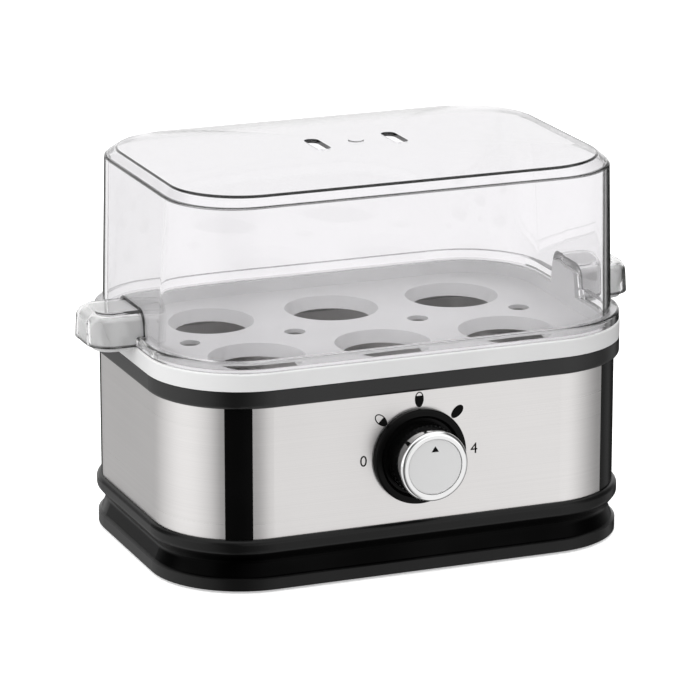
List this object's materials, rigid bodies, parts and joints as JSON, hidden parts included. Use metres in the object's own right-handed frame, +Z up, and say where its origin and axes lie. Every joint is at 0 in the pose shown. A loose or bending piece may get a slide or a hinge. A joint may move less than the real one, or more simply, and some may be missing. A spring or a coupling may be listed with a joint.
{
  "type": "egg boiler",
  "caption": "Household electric egg boiler with a steel-clad heating base, a control knob, a lift-out egg tray and a clear lid with side handles.",
  "frame": {"origin": "on the resting surface, under the middle of the whole outline", "axes": "+X to the right along the front as its user sees it, +Y towards the back, +Z up"},
  "size_m": [0.218, 0.1414, 0.1507],
  "materials": {
    "clear_plastic": "clear moulded plastic, polished",
    "white_plastic": "white moulded plastic, satin",
    "black_plastic": "black moulded plastic, satin gloss",
    "brushed_steel": "stainless sheet, brushed along its length",
    "pan_steel": "pressed stainless sheet",
    "silicone": "translucent grey silicone",
    "cast_aluminium": "as cast",
    "element_sheath": "dull drawn tube",
    "fixing_steel": "zinc plated steel",
    "control_case": "moulded thermoset",
    "feeler_copper": "drawn copper and brass",
    "fuse_case": "glass-fibre sleeve over a metal case",
    "chrome_ring": "bright chrome plate",
    "grey_cap": "light grey moulded plastic, satin",
    "block_plastic": "natural nylon",
    "brown_wire": "silicone insulation",
    "blue_wire": "silicone insulation",
    "green_wire": "silicone insulation",
    "foot_rubber": "soft black rubber"
  },
  "bodies": {
    "root": {"top_collar": "black_plastic", "housing_shell": "black_plastic", "base_plinth": "black_plastic", "bottom_cover": "black_plastic", "knob_bezel": "black_plastic", "front_panel": "brushed_steel", "left_panel": "brushed_steel", "rear_panel": "brushed_steel", "right_panel": "brushed_steel", "heating_pan": "pan_steel", "heat_shield": "pan_steel", "bulb_clip": "pan_steel", "fuse_clip": "pan_steel", "pan_seal": "silicone", "heater_plate": "cast_aluminium", "heating_element": "element_sheath", "element_pins": "fixing_steel", "plate_studs": "fixing_steel", "plate_nuts": "fixing_steel", "base_screws": "fixing_steel", "collar_screws": "fixing_steel", "thermostat_nut": "fixing_steel", "thermostat_body": "control_case", "sensor_bulb": "feeler_copper", "capillary_tube": "feeler_copper", "earth_tag": "feeler_copper", "thermal_fuse": "fuse_case", "terminal_block": "block_plastic", "live_lead": "brown_wire", "heater_lead": "brown_wire", "neutral_lead": "blue_wire", "earth_lead": "green_wire", "rubber_feet": "foot_rubber", "cord_gland": "foot_rubber"},
    "tray": {"egg_tray": "white_plastic"},
    "lid": {"lid_cover": "clear_plastic"},
    "knob": {"knob_body": "black_plastic", "knob_ring": "chrome_ring", "knob_cap": "grey_cap", "knob_clip": "fixing_steel", "control_spindle": "fixing_steel"}
  },
  "joints": [
    {"name": "tray_lift", "type": "slide", "parent": "root", "child": "tray", "axis": [0, 0, 1], "range_m": [0, 0.05]},
    {"name": "lid_lift", "type": "slide", "parent": "tray", "child": "lid", "axis": [0, 0, 1], "range_m": [0, 0.08]},
    {"name": "knob_turn", "type": "hinge", "parent": "root", "child": "knob", "pos_m": [0, -0.06325, 0.04525], "axis": [0, 1, 0], "range_deg": [-90, 90]}
  ]
}
